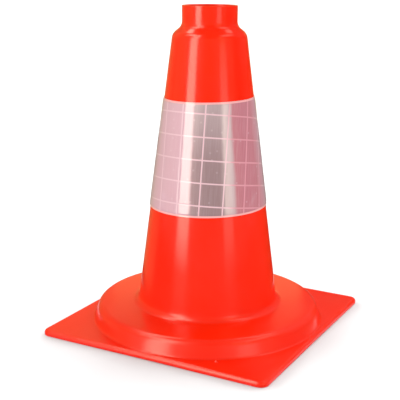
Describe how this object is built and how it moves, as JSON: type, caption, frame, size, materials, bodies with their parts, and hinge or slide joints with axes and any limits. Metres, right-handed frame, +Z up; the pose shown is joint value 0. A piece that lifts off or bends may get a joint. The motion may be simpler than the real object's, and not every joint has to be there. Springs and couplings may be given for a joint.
{
  "type": "traffic cone",
  "caption": "Small hollow traffic cone with a square flange, a round step, an open neck and a slip-on reflective sleeve; it marks a spot on the ground and stacks.",
  "frame": {"origin": "centre of the square flange's underside, on the ground and on the cone's axis", "axes": "+Z up along the cone's axis to the rim; X and Y are square to the flange's sides; the sleeve's seam is at +Y"},
  "size_m": [0.229, 0.229, 0.3],
  "materials": {
    "cone_plastic": "smooth moulded red-orange, satin gloss",
    "backing_film": "plain white film",
    "prism_film": "clear gloss over silver prisms, with pale weld lines"
  },
  "bodies": {
    "cone": {"cone_shell": "cone_plastic"},
    "sleeve": {"sleeve_backing": "backing_film", "sleeve_face": "prism_film"}
  },
  "joints": [
    {"name": "sleeve_lift", "type": "slide", "parent": "cone", "child": "sleeve", "axis": [0, 0, 1], "range_m": [0, 0.18]}
  ]
}
